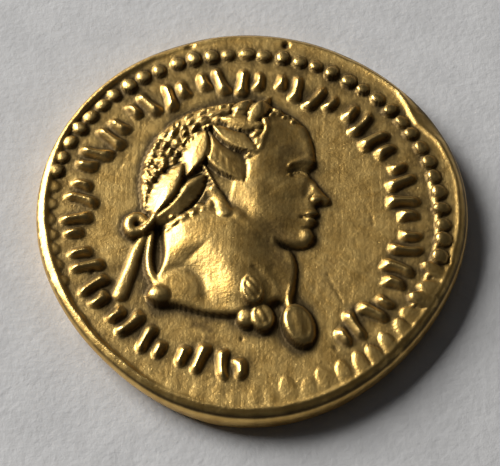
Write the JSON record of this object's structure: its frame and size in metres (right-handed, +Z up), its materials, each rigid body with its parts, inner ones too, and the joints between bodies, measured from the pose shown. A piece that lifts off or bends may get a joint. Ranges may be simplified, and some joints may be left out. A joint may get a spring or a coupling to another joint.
{
  "type": "gold coin",
  "caption": "Ancient Roman style gold coin: laurel-wreathed bust facing right, bead border, ring of worn marks, uneven hand-struck edge.",
  "frame": {"origin": "on the plane the coin rests on, under the middle of its bounding box", "axes": "+Z up out of the portrait side, +X where the portrait looks, +Y to the crown of its head"},
  "size_m": [0.0196, 0.0204, 0.0021],
  "materials": {
    "worn_gold": "struck high-carat gold, softly worn, dull yellow with darker recesses"
  },
  "bodies": {
    "root": {"coin": "worn_gold"}
  },
  "joints": []
}
